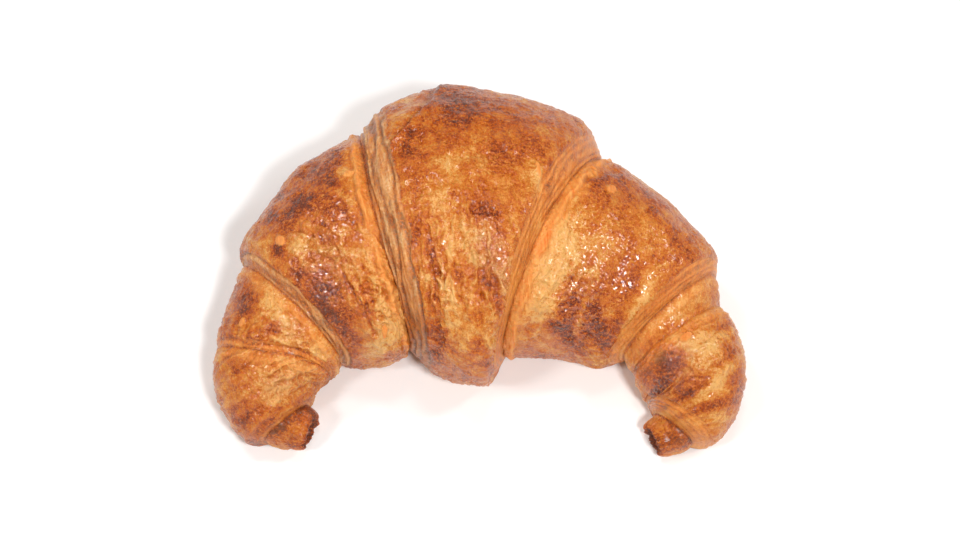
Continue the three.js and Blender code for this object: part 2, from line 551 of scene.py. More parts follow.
@dataclass
class CrustGrid:
    """The skin laid out as rows across the roll and columns round it."""

    roll: Roll = field(default_factory=Roll)
    spacing: float = 0.52
    top_share: float = 0.83
    foot_from: float = 202.0
    foot_to: float = 338.0
    columns: int = 420

    def __post_init__(self) -> None:
        """Lays out the rows of every turn and measures the skin."""
        self.angle = self._angles()
        rows = []
        turn_of_row = []
        across = []
        for index in range(len(self.roll.turns)):
            last = index == len(self.roll.turns) - 1
            for q in self._stations(index, last):
                s, size = self.roll.size(index, q, self.angle)
                rows.append((s, size))
                turn_of_row.append(index)
                across.append(q)
        self.s = np.array([row[0] for row in rows])
        self.size = np.array([row[1] for row in rows])
        self.turn = np.array(turn_of_row)
        self.q = np.array(across)
        self.base = self.roll.points(self.s, self.size, self.angle[None, :])
        self.normal = self._normals(self.base)
        self._measure()

    def _angles(self) -> Array:
        """Angles of the columns, from the middle of the foot round and back to it, denser on top.

        Returns:
            The angles in radians.
        """
        foot_count = int(self.columns * (1 - self.top_share) / 2)
        top_count = self.columns - 2 * foot_count
        first = np.linspace(-90, self.foot_to - 360, foot_count, endpoint=False)
        top = np.linspace(self.foot_to - 360, self.foot_from, top_count, endpoint=False)
        second = np.linspace(self.foot_from, 270, foot_count, endpoint=False)
        return np.radians(np.concatenate([first, top, second]))

    def _stations(self, index: int, last: bool) -> Array:
        """Places of the rows across a turn, closer together beside its seams.

        Args:
            index: The turn.
            last: Whether the roll ends with it, so that its right seam gets a row too.

        Returns:
            Places from 0 at the left seam to 1 at the right one.
        """
        q = np.linspace(0, 1, 40)[:, None]
        s, size = self.roll.size(index, q, self.angle[None, :])
        path = self.roll.points(s, size, self.angle[None, :])
        lengths = np.linalg.norm(np.diff(path, axis=0), axis=-1).sum(axis=0)
        count = max(8, int(np.percentile(lengths, 90) / self.spacing))
        even = np.linspace(0, 1, count + 1)
        eased = 0.5 - 0.5 * np.cos(even * math.pi)
        stations = 0.62 * even + 0.38 * eased
        return stations if last else stations[:-1]

    @staticmethod
    def _normals(points: Array) -> Array:
        """Directions out of the skin at every point.

        Args:
            points: The skin's points, by row and column.

        Returns:
            A unit direction at each point.
        """
        along = np.gradient(points, axis=0)
        wrapped = np.concatenate([points[:, -1:], points, points[:, :1]], axis=1)
        around = (wrapped[:, 2:] - wrapped[:, :-2]) / 2
        normal = np.cross(around, along)
        length = np.linalg.norm(normal, axis=-1, keepdims=True)
        return normal / np.maximum(length, 1e-9)

    def _measure(self) -> None:
        """Measures each point's distances over the skin: from the seams, and round from the back."""
        step = np.linalg.norm(np.diff(self.base, axis=0), axis=-1)
        run = np.concatenate([np.zeros((1, self.columns)), np.cumsum(step, axis=0)])
        self.from_left = np.zeros_like(run)
        self.from_right = np.zeros_like(run)
        for index in range(len(self.roll.turns)):
            rows = np.flatnonzero(self.turn == index)
            end = min(rows[-1] + 1, len(run) - 1)
            self.from_left[rows] = run[rows] - run[rows[0]]
            self.from_right[rows] = run[end] - run[rows]
        wrap = np.linalg.norm(np.diff(self.base, axis=1), axis=-1)
        around = np.concatenate([np.zeros((len(self.base), 1)), np.cumsum(wrap, axis=1)], axis=1)
        back = int(np.argmin(np.abs(self.angle)))
        self.around = around - around[:, back : back + 1]
        self.along = run - run[np.searchsorted(self.turn, self.roll.index("crown"))]

    def per_turn(self, values: list[float]) -> Array:
        """One value for every row of the skin, from one value for each turn."""
        return np.array(values)[self.turn][:, None]

    def in_space(self, size: float) -> list[Array]:
        """Noise coordinates of every point, for features of a size in millimetres, set apart by turn."""
        x, y, z = (self.base[..., i] / size for i in range(3))
        return [x, y, z + self.turn[:, None] * TURN_APART]

    def patches(self, patches: tuple[Patch, ...]) -> Array:
        """The summed heights of several patches at every point."""
        return sum(self.patch(patch) for patch in patches)

    def patch(self, patch: Patch) -> Array:
        """The height of a patch at every point, 0 away from it.

        Args:
            patch: The patch.

        Returns:
            Its height at every point of the skin.
        """
        index = self.roll.index(patch.turn)
        rows = np.flatnonzero(self.turn == index)
        column = int(np.argmin(np.abs(self.angle - math.radians(patch.angle))))
        row = rows[0] + int(np.argmin(np.abs(self.q[rows] - patch.across)))
        height = np.zeros(self.s.shape)
        across = (self.from_left[rows] - self.from_left[row, column]) / patch.wide
        around = (self.around[rows] - self.around[row, column]) / patch.long
        height[rows] = patch.strength * np.exp(-(across**2) - around**2)
        return height

    def beyond(self, fold: Fold) -> tuple[Array, Array]:
        """Where every point lies about a fold.

        Args:
            fold: The fold.

        Returns:
            Distance to the right of the fold, and how present the fold is beside each point.
        """
        rows = np.flatnonzero(self.turn == self.roll.index(fold.turn))
        degrees = np.degrees(self.angle)
        share = np.clip((degrees - fold.start[1]) / (fold.end[1] - fold.start[1]), 0, 1)
        course = fold.start[0] + (fold.end[0] - fold.start[0]) * share**fold.bow
        gap = np.full(self.s.shape, 99.0)
        for column, across in enumerate(course):
            level = np.interp(across, self.q[rows], self.from_left[rows, column])
            gap[rows, column] = self.from_left[rows, column] - level
        present = smoothstep(fold.start[1] - 8, fold.start[1] + 2, degrees)
        present = present * smoothstep(fold.end[1] + 5, fold.end[1] - 3, degrees)
        return gap, np.broadcast_to(present, self.s.shape)


@dataclass
class Baking:
    """What the oven did to the skin: relief in millimetres, and browning, paleness, shine and a painted
    sheen.

    Browning and paleness also hold painted shade and painted highlights.
    """

    grid: CrustGrid = field(default_factory=CrustGrid)
    # Darker patches: mostly browner crust, and a few painted shadows beside a flake and in grooves.
    scorch_and_shadow_patches: tuple[Patch, ...] = (
        Patch("crown", 0.42, 52, 5, 8, 0.34),
        Patch("crown", 0.30, 62, 3, 3.5, 0.28),
        Patch("crown", 0.24, 70, 2.2, 5, 0.26),
        Patch("crown", 0.73, 75, 9, 4, 0.16),
        Patch("crown", 0.87, 73, 3, 3, 0.22),
        Patch("crown", 0.60, 100, 8, 3, 0.26),
        Patch("crown", 0.29, 116, 2, 8, 0.34),
        Patch("crown", 0.26, 134, 2.2, 4, 0.26),
        Patch("crown", 0.74, 127, 3, 4, 0.34),
        Patch("crown", 0.74, 108, 4, 5, 0.12),
        Patch("left_shoulder", 0.75, 55, 4.5, 3.5, 0.34),
        Patch("left_shoulder", 0.51, 57, 3.5, 4.5, 0.34),
        Patch("left_shoulder", 0.20, 66, 3, 2.5, 0.40),
        Patch("left_shoulder", 0.18, 87, 3, 3.5, 0.28),
        Patch("left_shoulder", 0.18, 102, 3.5, 3.5, 0.34),
        Patch("left_shoulder", 0.17, 116, 3.5, 4, 0.34),
        Patch("left_shoulder", 0.18, 136, 3.5, 4, 0.28),
        Patch("left_shoulder", 0.20, 156, 3.5, 4, 0.22),
        Patch("left_shoulder", 0.52, 131, 3, 4, 0.16),
        Patch("left_elbow", 0.19, 73, 3, 3, 0.20),
        Patch("left_elbow", 0.45, 93, 2.5, 2.5, 0.25),
        Patch("left_elbow", 0.10, 118, 1.2, 8, 0.25),
        Patch("left_horn", 0.27, 40, 4, 4, 0.12),
        Patch("left_horn", 0.04, -13, 2, 2.5, 0.30),
        Patch("left_tip", 0.80, 130, 3, 3, 0.30),
        Patch("left_tip", 0.40, 90, 5, 9, 0.22),
        Patch("left_elbow", 0.50, 50, 9, 5, 0.10),
        Patch("crown", 0.20, 150, 4, 9, 0.16),
        Patch("right_shoulder", 0.36, 77, 8, 4, 0.22),
        Patch("right_shoulder", 0.43, 43, 5, 3, 0.15),
        Patch("right_shoulder", 0.75, 54, 5, 4, 0.22),
        Patch("right_shoulder", 0.47, 125, 3.5, 5, 0.28),
        Patch("right_shoulder", 0.53, 146, 6, 4, 0.40),
        Patch("right_shoulder", 0.80, 140, 5, 4, 0.36),
        Patch("right_shoulder", 0.72, 166, 7, 4, 0.32),
        Patch("right_shoulder", 0.86, 121, 4, 3, 0.20),
        Patch("right_horn", 0.10, 124, 4, 4.5, 0.42),
        Patch("right_horn", 0.08, 156, 3.5, 4, 0.40),
        Patch("right_horn", 0.31, 107, 4, 4, 0.24),
        Patch("right_horn", 0.42, 122, 9, 7, 0.16),
        Patch("right_horn", 0.60, 128, 4, 4, 0.30),
        Patch("right_horn", 0.68, 89, 3, 4.5, 0.24),
        Patch("right_horn", 0.78, 94, 2, 5, 0.22),
        Patch("right_horn", 0.80, 64, 2, 6, 0.30),
        Patch("right_tip", 0.60, 91, 4, 6, 0.22),
        Patch("right_tip", 0.20, 40, 3, 3, 0.40),
        Patch("right_tip", 0.60, 30, 4, 5, 0.22),
        Patch("left_tip", 0.90, 60, 4, 9, 0.25),
        Patch("crown", 0.50, 160, 14, 7, 0.14),
        Patch("crown", 0.50, 42, 24, 9, 0.14),
        Patch("left_shoulder", 0.50, 35, 14, 9, 0.20),
        Patch("left_shoulder", 0.40, 62, 10, 5, 0.10),
        Patch("left_elbow", 0.50, 40, 6, 8, 0.10),
    )
    # Paler patches: partly paler crust, partly painted highlights and sheen.
    pale_and_sheen_patches: tuple[Patch, ...] = (
        Patch("crown", 0.45, 81, 7, 6, 0.22),
        Patch("crown", 0.84, 61, 5, 3, 0.12),
        Patch("crown", 0.34, 92, 4, 4, 0.18),
        Patch("crown", 0.54, 112, 4, 7, 0.26),
        Patch("crown", 0.44, 147, 4, 8, 0.16),
        Patch("crown", 0.90, 155, 3, 7, 0.15),
        Patch("crown", 0.96, 96, 2.5, 9, 0.22),
        Patch("left_shoulder", 0.86, 58, 3, 3, 0.24),
        Patch("left_shoulder", 0.33, 78, 3.5, 4, 0.18),
        Patch("left_shoulder", 0.73, 96, 4, 4, 0.12),
        Patch("left_shoulder", 0.80, 139, 2.5, 7, 0.22),
        Patch("left_shoulder", 0.10, 32, 4, 6, 0.20),
        Patch("left_shoulder", 0.45, 165, 4, 3, 0.14),
        Patch("left_elbow", 0.70, 90, 2.5, 3.5, 0.32),
        Patch("left_elbow", 0.70, 75, 2.5, 3, 0.22),
        Patch("left_elbow", 0.50, 140, 2, 3, 0.20),
        Patch("left_horn", 0.62, 79, 4, 4, 0.16),
        Patch("left_horn", 0.35, 105, 4, 8, 0.24),
        Patch("left_horn", 0.70, 110, 5, 9, 0.12),
        Patch("left_shoulder", 0.60, 150, 6, 5, 0.14),
        Patch("right_shoulder", 0.20, 106, 5, 9, 0.28),
        Patch("right_shoulder", 0.30, 135, 4, 9, 0.40),
        Patch("right_shoulder", 0.12, 118, 3, 16, 0.20),
        Patch("crown", 0.93, 118, 3, 12, 0.14),
        Patch("right_shoulder", 0.47, 175, 4, 3, 0.12),
        Patch("right_shoulder", 0.50, 102, 5, 4, 0.12),
        Patch("right_horn", 0.34, 71, 4.5, 4.5, 0.34),
        Patch("right_horn", 0.25, 86, 3.5, 3, 0.18),
        Patch("right_horn", 0.61, 61, 4, 4, 0.28),
        Patch("right_elbow", 0.50, 80, 4, 6, 0.22),
        Patch("right_horn", 0.90, 60, 3, 8, 0.18),
        Patch("right_shoulder", 0.93, 120, 2.5, 14, 0.20),
    )
    blistered: tuple[Patch, ...] = (
        Patch("left_shoulder", 0.50, 88, 9, 10, 1.0),
        Patch("left_shoulder", 0.28, 108, 6, 9, 0.8),
        Patch("crown", 0.70, 114, 5, 9, 1.0),
        Patch("crown", 0.30, 122, 3, 9, 0.5),
        Patch("crown", 0.62, 80, 10, 4, 0.35),
        Patch("right_shoulder", 0.55, 122, 9, 9, 1.0),
        Patch("right_shoulder", 0.62, 96, 9, 5, 0.5),
        Patch("right_horn", 0.45, 100, 8, 8, 1.0),
        Patch("left_elbow", 0.55, 105, 4, 6, 0.8),
    )
    wrinkled: tuple[Patch, ...] = (
        Patch("crown", 0.72, 120, 6, 14, 1.0),
        Patch("crown", 0.28, 125, 5, 16, 0.9),
        Patch("left_shoulder", 0.70, 120, 7, 16, 1.0),
        Patch("left_shoulder", 0.35, 85, 8, 8, 0.6),
        Patch("right_shoulder", 0.30, 125, 5, 14, 0.9),
        Patch("right_shoulder", 0.75, 150, 8, 8, 0.7),
        Patch("right_horn", 0.65, 100, 6, 12, 0.9),
        Patch("left_horn", 0.50, 110, 9, 16, 1.0),
        Patch("left_elbow", 0.25, 95, 4, 14, 0.9),
    )
    # Where a pinkish painted sheen lies over the glaze.
    sheen_patches: tuple[Patch, ...] = (
        Patch("crown", 0.76, 119, 4, 8, 0.8),
        Patch("crown", 0.80, 60, 9, 4, 0.4),
        Patch("left_horn", 0.45, 105, 6, 10, 0.55),
        Patch("left_shoulder", 0.40, 146, 5, 6, 0.5),
        Patch("right_shoulder", 0.60, 170, 9, 4, 0.6),
        Patch("right_shoulder", 0.55, 40, 9, 4, 0.5),
        Patch("right_horn", 0.40, 150, 8, 5, 0.6),
    )
    flakes: tuple[Patch, ...] = (
        Patch("left_shoulder", 0.24, 64, 1.5, 2.2, 1.0),
        Patch("left_shoulder", 0.88, 60, 1.8, 1.2, 1.0),
        Patch("left_shoulder", 0.60, 150, 1.2, 1.6, 1.0),
        Patch("crown", 0.86, 80, 0.8, 1.8, 1.0),
        Patch("right_shoulder", 0.24, 62, 1.4, 1.8, 1.0),
        Patch("right_horn", 0.16, 84, 1.2, 2.4, 1.0),
        Patch("left_elbow", 0.30, 60, 1.6, 1.0, 1.0),
    )
    folds: tuple[Fold, ...] = (
        Fold("crown", (0.33, 22), (0.13, 65), 3.0, 1.5, 7.0),
        Fold("right_shoulder", (0.20, 40), (0.10, 66), 1.5, 0.6, 4.0),
    )
    lump_size: float = 15.0
    lump_height: float = 0.8
    dimple_size: float = 5.5
    dimple_height: float = 0.34
    blister_size: float = 1.7
    blister_height: float = 0.5
    flake_lift: float = 0.55
    foot_fade: float = 5.0

    def __post_init__(self) -> None:
        """Works out the relief and the finish of the whole skin."""
        grid = self.grid
        x, y, z = (grid.base[..., i] for i in range(3))
        layer = grid.turn[:, None] * TURN_APART
        across, around = grid.from_left, grid.around
        side = smoothstep(0.3, self.foot_fade, z)

        lumps = self.lump_height * Noise(1).layered(*grid.in_space(self.lump_size))
        dimples = self.dimple_height * Noise(2).layered(*grid.in_space(self.dimple_size), octaves=2)
        warp = 1.8 * Noise(3).smooth(across / 5, around / 7, layer)
        wrinkles = self._wrinkles(layer, warp)
        blisters, pimples = self._blisters(warp)

        self.band = np.zeros_like(z)
        self.dough = np.zeros_like(z)
        self.chalk = np.zeros_like(z)
        self.toast_and_shade = np.zeros_like(z)
        self.layer_relief = np.zeros_like(z)
        self.shift = np.zeros_like(grid.base)
        for index, turn in enumerate(grid.roll.turns):
            rows = np.flatnonzero(grid.turn == index)
            if turn.left_edge:
                self._cut_edge(rows, grid.from_left, turn.left_edge, index, 1)
            if turn.right_edge:
                self._cut_edge(rows, grid.from_right, turn.right_edge, index + 50, -1)
        self._tucked_skin(layer)
        self._loose_layers(warp)

        skin = 1 - self.band
        flake = self._lifted_flakes(warp)
        relief = lumps + dimples * (0.3 + 0.7 * skin) + skin * (1 - flake) * (wrinkles + blisters + pimples)
        relief = relief * side + self.layer_relief * smoothstep(0.2, 2.5, z) + flake * self.flake_lift
        points = grid.base + grid.normal * relief[..., None] + self.shift * side[..., None]
        points[..., 2] = np.maximum(points[..., 2], self._foot_dents(x, y, z))
        self.points = points
        self._brown(z, layer, warp, lumps, wrinkles, blisters)

    def _wrinkles(self, layer: Array, warp: Array) -> Array:
        """Height of the wrinkled and pleated skin.

        Args:
            layer: Sets the turns' patterns apart.
            warp: Bends the patterns' straight runs.

        Returns:
            The height at every point, about zero on average.
        """
        grid = self.grid
        turns, across, around = grid.roll.turns, grid.from_left, grid.around
        strength = grid.per_turn([turn.wrinkles for turn in turns])
        pleating = grid.per_turn([turn.pleats for turn in turns])
        zone = np.clip(0.22 + grid.patches(self.wrinkled), 0, 1)
        folds = Noise(4).creased((across + warp) / 4.2, (around + warp) / 17, layer, octaves=2)
        creases = Noise(5).creased((across + warp) / 2.0, (around - warp) / 6.5, layer, octaves=2)
        x, y, z = grid.in_space(2.1)
        crinkle = Noise(9).creased(x + warp / 2.5, y, z, octaves=2)
        patchy = 0.6 + 0.4 * Noise(6).smooth(*grid.in_space(9))
        pleats = Noise(12).creased((across + 0.6 * warp) / 2.7, around / 42, layer, octaves=3)
        coarse = strength * (11.0 * folds + 9.0 * creases)
        wrinkles = zone * patchy * (coarse + 2.2 * (1 - 0.6 * pleating) * crinkle)
        return wrinkles + 1.9 * pleating * pleats

    def _blisters(self, warp: Array) -> tuple[Array, Array]:
        """Raises the blisters, and keeps where they are strongest in blister_mask.

        Args:
            warp: Bends the patterns' straight runs.

        Returns:
            Height of the blisters and height of the smaller pimples between them.
        """
        grid = self.grid
        self.blister_mask = np.clip(grid.patches(self.blistered), 0, 1)
        x, y, z = grid.in_space(self.blister_size)
        near, _ = Noise(7).cells(x + 0.4 * warp, y, z)
        x, y, z = grid.in_space(1.15)
        small, _ = Noise(8).cells(x, y + 0.3 * warp, z)
        lively = self.blister_mask * smoothstep(-0.5, 0.4, Noise(10).smooth(*grid.in_space(5)))
        blisters = self.blister_height * (0.12 + 0.88 * lively) * (smoothstep(0.75, 0.15, near) - 0.4)
        pimples = 0.52 * (0.1 + 0.9 * lively) * (smoothstep(0.7, 0.2, small) - 0.4)
        return blisters, pimples

    def _loose_layers(self, warp: Array) -> None:
        """Steps the skin up along each fold, pales it below and browns it above, with painted shade at its
        foot.

        Args:
            warp: Bends the folds' straight runs.
        """
        for fold in self.folds:
            gap, present = self.grid.beyond(fold)
            gap = gap + 0.5 * warp
            slope = smoothstep(-1.2, 0.8, gap) * np.exp(-np.maximum(gap, 0) / fold.reach)
            self.layer_relief += fold.step * present * (slope - 0.35 * bump(gap + 1.6, 1.2))
            below = smoothstep(-0.8, -3, gap) * smoothstep(-12, -8, gap)
            # The bump darkens the crease at the foot of the step with painted shade; above the step the skin
            # browns and below it pales.
            self.toast_and_shade += present * (0.08 * bump(gap + 0.9, 1.2) + 0.14 * slope - 0.12 * below)

    def _lifted_flakes(self, warp: Array) -> Array:
        """Where small flakes of the top layer have come loose, with torn edges.

        Args:
            warp: Sets the torn edges' unevenness apart from place to place.

        Returns:
            1 on a flake and 0 away from it.
        """
        grid = self.grid
        torn = 0.12 * Noise(11).layered(grid.from_left / 0.9, grid.around / 0.9, warp, octaves=2)
        whole = grid.patches(self.flakes)
        flake = smoothstep(0.40, 0.50, whole + torn)
        self.dough = np.maximum(self.dough, 0.95 * flake)
        return flake

    def _cut_edge(self, rows: Array, distance: Array, edge: Edge, seed: int, direction: int) -> None:
        """Shapes the cut edge of a turn: its open layers, and the skin that ends above them.

        Args:
            rows: The rows of the turn.
            distance: Distance over the skin from the edge's seam, at every point.
            edge: What the edge is like.
            seed: Sets this edge's unevenness apart from the others.
            direction: 1 where the seam is at the turn's left, -1 at its right.
        """
        grid = self.grid
        gap = distance[rows]
        around = grid.around[rows]
        ragged = 0.24 * Noise(20 + seed).layered(around / 13, gap * 0 + seed, 0.0, octaves=3, gain=0.55)
        top = smoothstep(-0.2, 0.9, np.sin(grid.angle))[None, :]
        width = edge.width * (1 + ragged) * (0.95 + 0.15 * top)
        place = gap / width
        frayed = place + 0.10 * Noise(240 + seed).layered(around / 2.2, gap / 2.2, seed, octaves=3)
        band = smoothstep(1.06, 0.94, frayed)
        drift = 1.1 * Noise(60 + seed).layered(around / 24, gap / 5, seed * 3.1, octaves=2)
        phase = place * edge.layers + drift
        tooth = np.abs(2 * (phase - np.floor(phase)) - 1)
        uneven = Noise(90 + seed).layered(around / 12, gap / 2.6, seed * 1.7, octaves=2)
        presence = np.clip(0.6 + 0.8 * uneven, 0, 1)
        ridges = edge.height * presence * (tooth - 0.5)
        fine = Noise(120 + seed).layered(gap / 0.6, around / 14, seed * 2.3, octaves=2)
        crumbs = Noise(270 + seed).layered(around / 2.6, gap / 1.3, seed * 1.3, octaves=3)
        if edge.style is EdgeStyle.STRIATED:
            ridges = ridges + 0.16 * fine
        else:
            ridges = ridges + (0.08 * fine + 0.45 * crumbs)
        shoulder = edge.lift * smoothstep(0.97, 1.04, place) * np.exp(-np.maximum(gap - width, 0) / 3.5)
        ledge = -0.8 * edge.lift * bump((place - 0.97) * width, 0.45)
        self.layer_relief[rows] += band * ridges * smoothstep(0, 0.15, place) + shoulder + ledge
        wavy = 0.6 + 0.4 * Noise(150 + seed).smooth(around / 9, 0 * gap, seed)
        over = edge.overhang * bump(place - 0.38, 0.22) * wavy
        tangent = np.gradient(grid.base, axis=0)[rows]
        tangent = tangent / np.maximum(np.linalg.norm(tangent, axis=-1, keepdims=True), 1e-9)
        self.shift[rows] -= direction * tangent * over[..., None]
        self.band[rows] = np.maximum(self.band[rows], band)
        crumbly = 0.5 * crumbs if edge.style is EdgeStyle.LAYERED else 0
        crest = smoothstep(0.2, 0.75, tooth + 0.25 * fine + crumbly)
        worn = np.clip(0.84 + 0.7 * Noise(210 + seed).layered(around / 4, gap / 1.8, seed, octaves=3), 0, 1)
        pale = edge.paleness * band * (0.35 + 0.65 * crest) * smoothstep(0.0, 0.12, place) * worn
        self.dough[rows] = np.maximum(self.dough[rows], pale)
        if edge.style is EdgeStyle.LAYERED:
            chalky = 0.75 + 0.5 * Noise(180 + seed).smooth(around / 12, gap / 3, seed)
            chalky = np.clip(chalky, 0, 1) * smoothstep(1.6, 0.9, place)
            self.chalk[rows] = np.maximum(self.chalk[rows], chalky)
        near_foot = smoothstep(105, 150, np.degrees(grid.angle))[None, :] * band
        self.dough[rows] *= 1 - edge.foot_darkening * near_foot
        self.toast_and_shade[rows] += 0.3 * edge.foot_darkening * near_foot
        # Darkens the gaps between the layers and the ledge at the band's edge: partly browning, partly
        # painted shade in these hollows.
        groove = band * (1 - crest) * presence + 0.6 * presence * bump((place - 0.98) * width, 0.4)
        self.toast_and_shade[rows] += edge.contrast * groove

    def _tucked_skin(self, layer: Array) -> None:
        """Pales and crimps the strip of each turn that the next one had covered while it rose, and paints
        shade into the seam's groove and the dip behind the crimp.

        Args:
            layer: Sets the turns' patterns apart.
        """
        grid = self.grid
        crown = grid.roll.index("crown")
        gap = np.where(grid.turn[:, None] < crown, grid.from_right, grid.from_left)
        gap = np.where(grid.turn[:, None] == crown, 99.0, gap)
        wave = Noise(31).layered(grid.around / 8, layer * 0.37, 0.0, octaves=3)
        reach = 4.2 + 1.8 * wave
        self.tucked = smoothstep(1.6, 0.4, gap / reach)
        crimp_at = 2.6 + 1.3 * wave
        bent = smoothstep(-0.5, 0.2, Noise(32).smooth(grid.around / 9, layer, 3.0))
        crimp = bump(gap - crimp_at, 0.75) * bent
        turns = grid.roll.turns
        paleness = grid.per_turn([turn.tucked for turn in turns])
        crimping = grid.per_turn([turn.crimp for turn in turns])
        self.layer_relief += crimping * (0.8 * crimp - 0.4 * bump(gap - crimp_at - 1.3, 0.5) * bent)
        bare = paleness * self.tucked * (0.75 + 0.5 * wave) + 0.9 * crimping * crimp
        self.dough = np.maximum(self.dough, bare)
        depth = grid.per_turn([turn.seam for turn in turns])
        # Painted shade in the groove at the seam and in the dip behind the crimp.
        self.toast_and_shade += 0.5 * depth * bump(gap, 0.6) + 0.25 * crimping * bump(gap - crimp_at - 1.2, 0.5) * bent

    def _foot_dents(self, x: Array, y: Array, z: Array) -> Array:
        """How far the flat foot is dented upwards by bubbles caught against the tray.

        Args:
            x: Place of each point.
            y: Place of each point.
            z: Height of each point.

        Returns:
            Depth of the dents, 0 away from the foot.
        """
        cells, _ = Noise(41).cells(x / 7, y / 7, 0.0)
        dents = 0.5 * smoothstep(0.45, 0.1, cells) + 0.12 * np.abs(Noise(42).layered(x / 3, y / 3, 1.0))
        return np.where(z < 0.01, dents, 0.0)

    def _brown(
        self, z: Array, layer: Array, warp: Array, lumps: Array, wrinkles: Array, blisters: Array
    ) -> None:
        """Browns the skin: darker on lumps and blisters and paler low down. The wrinkles' crests are
        painted paler and their hollows darker, a painted highlight and painted shade.

        Args:
            z: Height of each point.
            layer: Sets the turns' patterns apart.
            warp: Bends the patterns' straight runs.
            lumps: Height of the broad lumps.
            wrinkles: Height of the wrinkles.
            blisters: Height of the blisters.
        """
        grid = self.grid
        broad = Noise(51).layered(*grid.in_space(17), octaves=2)
        fine_x, fine_y, fine_z = grid.in_space(5.5)
        mottle = Noise(52).layered(fine_x + 0.3 * warp, fine_y, fine_z, octaves=4, gain=0.7)
        streaks = Noise(53).layered(grid.from_left / 2.6, grid.around / 12, layer, octaves=3)
        low = smoothstep(14.0, 1.0, z)
        # Darker patches, partly browning and partly painted shadow.
        scorch_and_shadow = grid.patches(self.scorch_and_shadow_patches)
        browning = 0.42 + 0.22 * broad + 0.42 * mottle + 0.16 * streaks
        # Lumps and blisters brown more; the wrinkles' crests are painted paler and their hollows darker, a
        # painted highlight and painted shade.
        browning += 0.08 * lumps + 0.25 * blisters - 0.24 * wrinkles
        # The dark patches add browning and painted shadow; the pale ones take it away for paler crust and
        # painted highlights.
        browning += 0.95 * scorch_and_shadow * (1 + 0.9 * mottle) - 1.3 * grid.patches(self.pale_and_sheen_patches)
        browning -= 0.10 * low * (z > 0.01) + 0.14 * self.tucked
        sole = smoothstep(1.8, 0.0, z)
        # Adds the underside's browning, and the extra darkening of steps, edges and seams, which is partly
        # painted shade.
        browning += sole * (0.52 + 0.2 * broad + 0.25 * mottle - browning) + self.toast_and_shade
        self.browning = np.clip(browning, 0, 0.88)
        self.dough = np.clip(self.dough * (1 - 0.7 * sole), 0, 1)
        # A pinkish painted sheen where the glaze shines, with some tone that varies at random.
        self.painted_sheen = np.clip(grid.patches(self.sheen_patches) + 0.15 * broad, 0, 1)
        glaze = 0.55 + 0.45 * self.blister_mask + 0.35 * mottle + 0.3 * scorch_and_shadow
        self.shine = np.clip(glaze * (1 - 0.7 * self.dough), 0, 1) * smoothstep(1.0, 9.0, z)


# ---------------------------------------------------------------- the mesh


@dataclass
class TipEnd:
    """How the skin closes over one end of the roll.

    hollow, lip, coil_depth and raggedness are in millimetres. turns is how often the coil goes round,
    brim and lip_share are shares of the end's radius and of its rows, and rows sets how many there are.
    """

    hollow: float
    lip: float
    turns: float
    coil_depth: float
    brim: float = 0.3
    raggedness: float = 1.3
    lip_share: float = 0.4
    rows: int = 26


